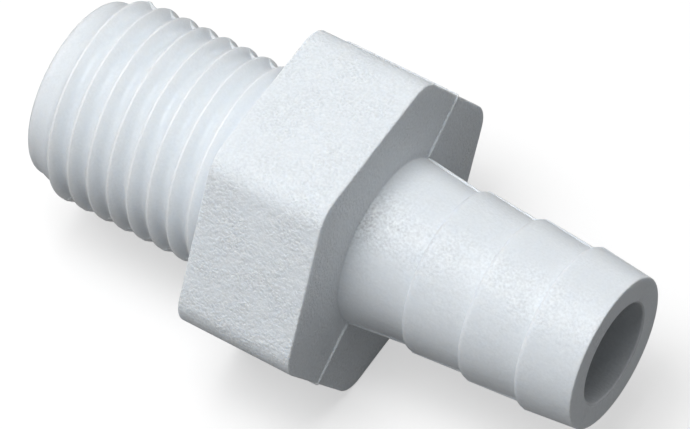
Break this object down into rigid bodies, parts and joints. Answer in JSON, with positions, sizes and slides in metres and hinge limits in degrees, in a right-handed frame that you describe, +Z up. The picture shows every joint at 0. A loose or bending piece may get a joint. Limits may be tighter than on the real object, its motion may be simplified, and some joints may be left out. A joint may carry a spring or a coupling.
{
  "type": "hose barb adapter",
  "caption": "One-piece plastic adapter with a tapered-crest hose barb stem, a wrench hexagon and a male pipe thread around a straight flow bore.",
  "frame": {"origin": "on the floor under the middle of the adapter's length, on the hexagon flat that it rests on", "axes": "+X along the flow bore, towards the barbs; +Z up, out of the hexagon's upper flat; +Y across, to the side"},
  "size_m": [0.0372, 0.0208, 0.0186],
  "materials": {
    "moulded_plastic": "fine moulded grain"
  },
  "bodies": {
    "root": {"hose_barb_adapter": "moulded_plastic"}
  },
  "joints": []
}
